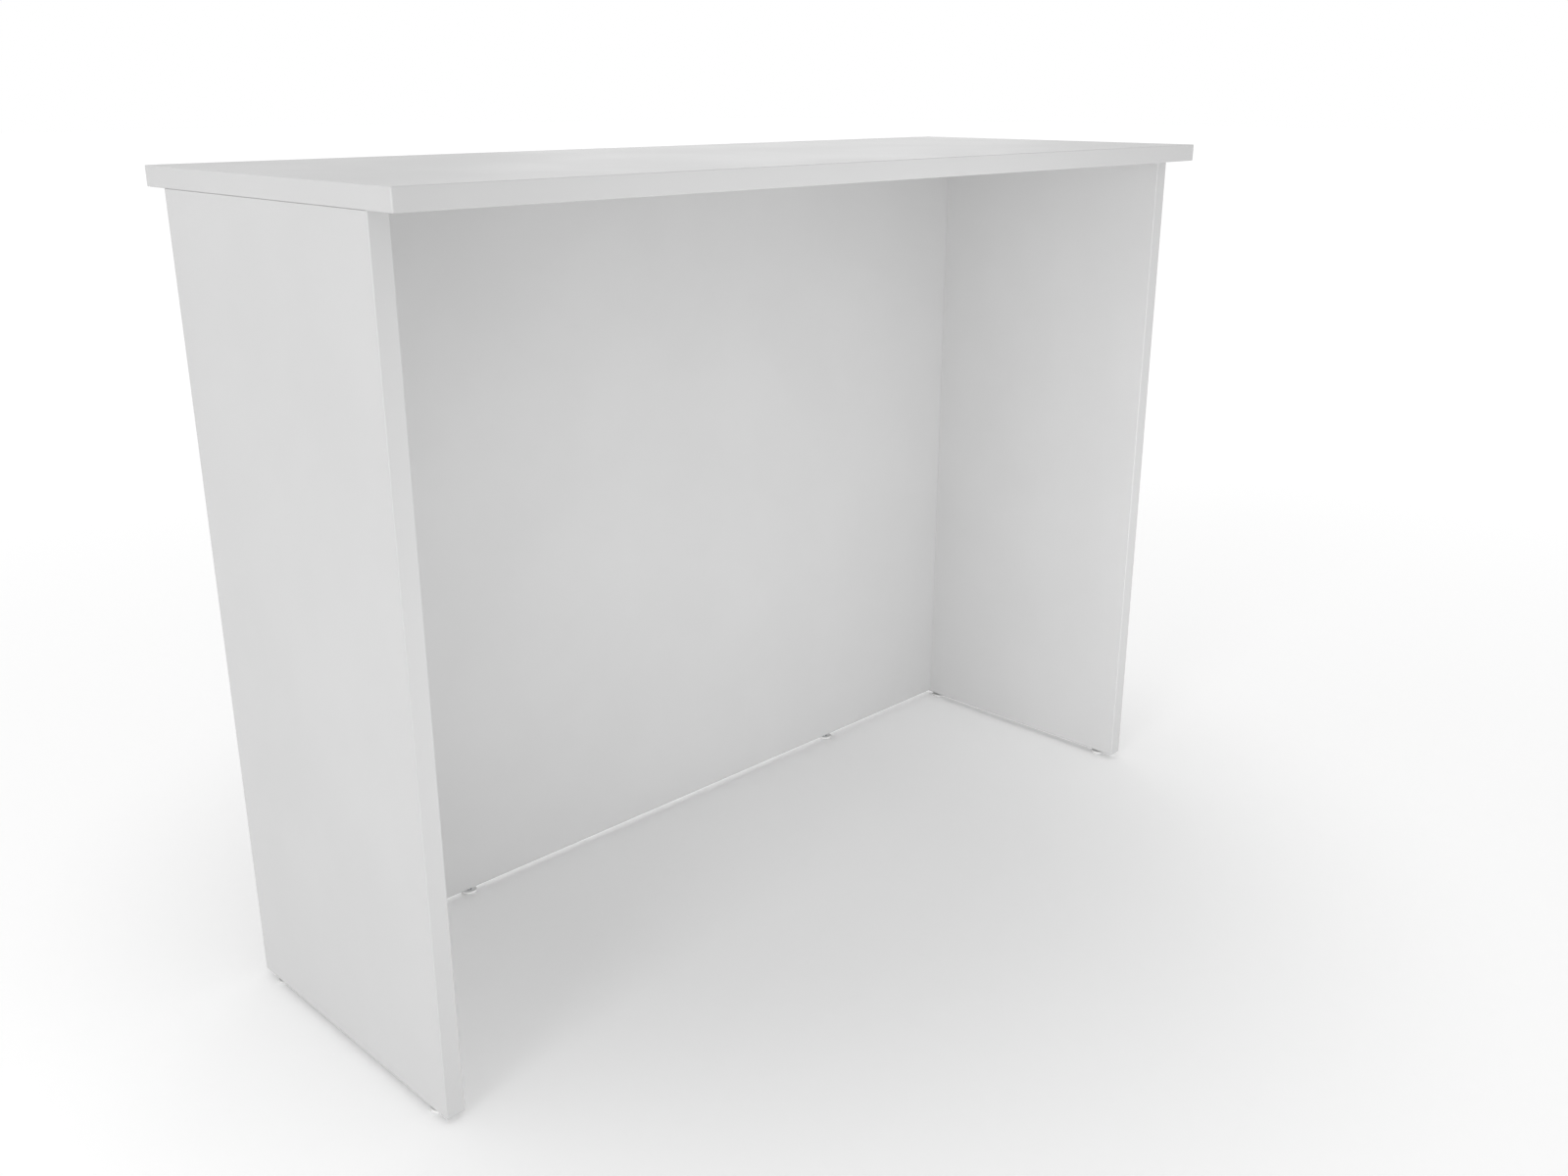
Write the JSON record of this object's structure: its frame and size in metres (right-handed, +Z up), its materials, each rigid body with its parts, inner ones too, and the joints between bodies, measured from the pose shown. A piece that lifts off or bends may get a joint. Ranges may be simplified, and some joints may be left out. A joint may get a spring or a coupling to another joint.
{
  "type": "reception counter",
  "caption": "Pale grey melamine reception counter: an overhanging top on side panels and a front panel, open on the staff side, standing on adjustable levelling feet.",
  "frame": {"origin": "on the floor under the middle of the counter", "axes": "+X along the counter to the right as the staff see it, +Y to the visitor side that the front panel closes (staff stand at -Y), +Z up"},
  "size_m": [1.45, 0.55, 1.088],
  "materials": {
    "melamine_board": "satin",
    "edge_band": "satin",
    "foot_plastic": "satin",
    "zinc_steel": "satin",
    "cast_zinc": "satin",
    "beech_dowel": "matte"
  },
  "bodies": {
    "root": {"top_board": "melamine_board", "left_side_board": "melamine_board", "right_side_board": "melamine_board", "front_panel_board": "melamine_board", "top_edge_staff": "edge_band", "top_edge_visitor": "edge_band", "top_edge_left": "edge_band", "top_edge_right": "edge_band", "left_side_edge_staff": "edge_band", "left_side_edge_visitor": "edge_band", "left_side_edge_bottom": "edge_band", "right_side_edge_staff": "edge_band", "right_side_edge_visitor": "edge_band", "right_side_edge_bottom": "edge_band", "front_panel_edge_bottom": "edge_band", "left_staff_foot_insert": "zinc_steel", "left_visitor_foot_insert": "zinc_steel", "right_staff_foot_insert": "zinc_steel", "right_visitor_foot_insert": "zinc_steel", "front_left_foot_insert": "zinc_steel", "front_right_foot_insert": "zinc_steel", "left_cam": "cast_zinc", "left_cam_bolt": "zinc_steel", "right_cam": "cast_zinc", "right_cam_bolt": "zinc_steel", "front_left_cam": "cast_zinc", "front_left_cam_bolt": "zinc_steel", "front_middle_cam": "cast_zinc", "front_middle_cam_bolt": "zinc_steel", "front_right_cam": "cast_zinc", "front_right_cam_bolt": "zinc_steel", "left_top_dowel_staff": "beech_dowel", "left_top_dowel_middle": "beech_dowel", "right_top_dowel_staff": "beech_dowel", "right_top_dowel_middle": "beech_dowel", "front_top_dowel_left": "beech_dowel", "front_top_dowel_right": "beech_dowel", "left_joint_dowel_1": "beech_dowel", "left_joint_dowel_2": "beech_dowel", "left_joint_dowel_3": "beech_dowel", "left_joint_dowel_4": "beech_dowel", "right_joint_dowel_1": "beech_dowel", "right_joint_dowel_2": "beech_dowel", "right_joint_dowel_3": "beech_dowel", "right_joint_dowel_4": "beech_dowel"},
    "left_staff_pad": {"left_staff_foot_pad": "foot_plastic"},
    "left_staff_screw": {"left_staff_foot_screw": "zinc_steel"},
    "left_visitor_pad": {"left_visitor_foot_pad": "foot_plastic"},
    "left_visitor_screw": {"left_visitor_foot_screw": "zinc_steel"},
    "right_staff_pad": {"right_staff_foot_pad": "foot_plastic"},
    "right_staff_screw": {"right_staff_foot_screw": "zinc_steel"},
    "right_visitor_pad": {"right_visitor_foot_pad": "foot_plastic"},
    "right_visitor_screw": {"right_visitor_foot_screw": "zinc_steel"},
    "front_left_pad": {"front_left_foot_pad": "foot_plastic"},
    "front_left_screw": {"front_left_foot_screw": "zinc_steel"},
    "front_right_pad": {"front_right_foot_pad": "foot_plastic"},
    "front_right_screw": {"front_right_foot_screw": "zinc_steel"}
  },
  "joints": [
    {"name": "left_staff_foot_lift", "type": "slide", "parent": "root", "child": "left_staff_pad", "axis": [0, 0, -1], "range_m": [0, 0.012]},
    {"name": "left_staff_screw_turn", "type": "hinge", "parent": "left_staff_pad", "child": "left_staff_screw", "pos_m": [-0.7125, -0.1915, 0.008], "axis": [0, 0, -1], "range_deg": [0, 4320]},
    {"name": "left_visitor_foot_lift", "type": "slide", "parent": "root", "child": "left_visitor_pad", "axis": [0, 0, -1], "range_m": [0, 0.012]},
    {"name": "left_visitor_screw_turn", "type": "hinge", "parent": "left_visitor_pad", "child": "left_visitor_screw", "pos_m": [-0.7125, 0.1915, 0.008], "axis": [0, 0, -1], "range_deg": [0, 4320]},
    {"name": "right_staff_foot_lift", "type": "slide", "parent": "root", "child": "right_staff_pad", "axis": [0, 0, -1], "range_m": [0, 0.012]},
    {"name": "right_staff_screw_turn", "type": "hinge", "parent": "right_staff_pad", "child": "right_staff_screw", "pos_m": [0.7125, -0.1915, 0.008], "axis": [0, 0, -1], "range_deg": [0, 4320]},
    {"name": "right_visitor_foot_lift", "type": "slide", "parent": "root", "child": "right_visitor_pad", "axis": [0, 0, -1], "range_m": [0, 0.012]},
    {"name": "right_visitor_screw_turn", "type": "hinge", "parent": "right_visitor_pad", "child": "right_visitor_screw", "pos_m": [0.7125, 0.1915, 0.008], "axis": [0, 0, -1], "range_deg": [0, 4320]},
    {"name": "front_left_foot_lift", "type": "slide", "parent": "root", "child": "front_left_pad", "axis": [0, 0, -1], "range_m": [-0.003, 0.009]},
    {"name": "front_left_screw_turn", "type": "hinge", "parent": "front_left_pad", "child": "front_left_screw", "pos_m": [-0.4, 0.215, 0.008], "axis": [0, 0, -1], "range_deg": [-1080, 3240]},
    {"name": "front_right_foot_lift", "type": "slide", "parent": "root", "child": "front_right_pad", "axis": [0, 0, -1], "range_m": [-0.003, 0.009]},
    {"name": "front_right_screw_turn", "type": "hinge", "parent": "front_right_pad", "child": "front_right_screw", "pos_m": [0.4, 0.215, 0.008], "axis": [0, 0, -1], "range_deg": [-1080, 3240]}
  ],
  "couplings": [
    {"joint": "left_staff_screw_turn", "follows": "left_staff_foot_lift", "rad_per_m": 6283.2},
    {"joint": "left_visitor_screw_turn", "follows": "left_visitor_foot_lift", "rad_per_m": 6283.2},
    {"joint": "right_staff_screw_turn", "follows": "right_staff_foot_lift", "rad_per_m": 6283.2},
    {"joint": "right_visitor_screw_turn", "follows": "right_visitor_foot_lift", "rad_per_m": 6283.2},
    {"joint": "front_left_screw_turn", "follows": "front_left_foot_lift", "rad_per_m": 6283.2},
    {"joint": "front_right_screw_turn", "follows": "front_right_foot_lift", "rad_per_m": 6283.2}
  ]
}
